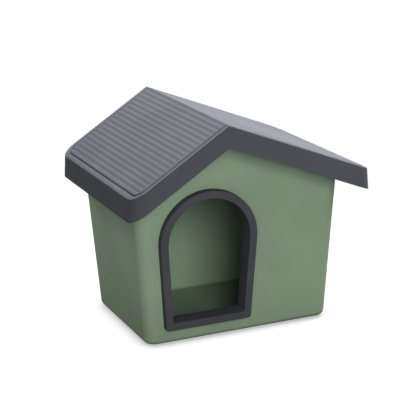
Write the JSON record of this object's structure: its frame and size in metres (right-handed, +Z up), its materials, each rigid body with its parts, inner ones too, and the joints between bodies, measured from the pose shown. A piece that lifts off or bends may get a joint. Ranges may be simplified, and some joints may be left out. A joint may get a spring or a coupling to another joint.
{
  "type": "dog house",
  "caption": "Moulded plastic dog house with an off-centre arched doorway, a drafted one-piece cabin and a ribbed gable roof that lifts off.",
  "frame": {"origin": "on the ground under the middle of the roof's outline", "axes": "+X to the right seen from the front, +Y from the doorway side to the back, +Z up"},
  "size_m": [0.8, 0.674, 0.7087],
  "materials": {
    "green_plastic": "fine moulded satin, sage green",
    "grey_plastic": "fine moulded satin, anthracite grey",
    "rubber": "matt black rubber",
    "screw_steel": "zinc-plated steel"
  },
  "bodies": {
    "cabin": {"cabin_shell": "green_plastic", "door_frame": "grey_plastic", "door_frame_ring": "grey_plastic", "door_screw_1": "screw_steel", "door_screw_2": "screw_steel", "door_screw_3": "screw_steel", "door_screw_4": "screw_steel", "door_screw_5": "screw_steel", "door_screw_6": "screw_steel", "door_screw_7": "screw_steel", "door_screw_8": "screw_steel", "door_screw_9": "screw_steel", "vent_grille": "grey_plastic", "foot_front_left": "rubber", "foot_front_right": "rubber", "foot_back_left": "rubber", "foot_back_right": "rubber"},
    "roof": {"roof_shell": "grey_plastic"},
    "knob_front_left": {"roof_knob_front_left": "grey_plastic"},
    "knob_front_right": {"roof_knob_front_right": "grey_plastic"},
    "knob_back_left": {"roof_knob_back_left": "grey_plastic"},
    "knob_back_right": {"roof_knob_back_right": "grey_plastic"}
  },
  "joints": [
    {"name": "roof_lift", "type": "slide", "parent": "cabin", "child": "roof", "axis": [0, 0, 1], "range_m": [0, 0.3]},
    {"name": "knob_front_left_out", "type": "slide", "parent": "cabin", "child": "knob_front_left", "axis": [0, 0, -1], "range_m": [0, 0.03]},
    {"name": "knob_front_right_out", "type": "slide", "parent": "cabin", "child": "knob_front_right", "axis": [0, 0, -1], "range_m": [0, 0.03]},
    {"name": "knob_back_left_out", "type": "slide", "parent": "cabin", "child": "knob_back_left", "axis": [0, 0, -1], "range_m": [0, 0.03]},
    {"name": "knob_back_right_out", "type": "slide", "parent": "cabin", "child": "knob_back_right", "axis": [0, 0, -1], "range_m": [0, 0.03]}
  ]
}
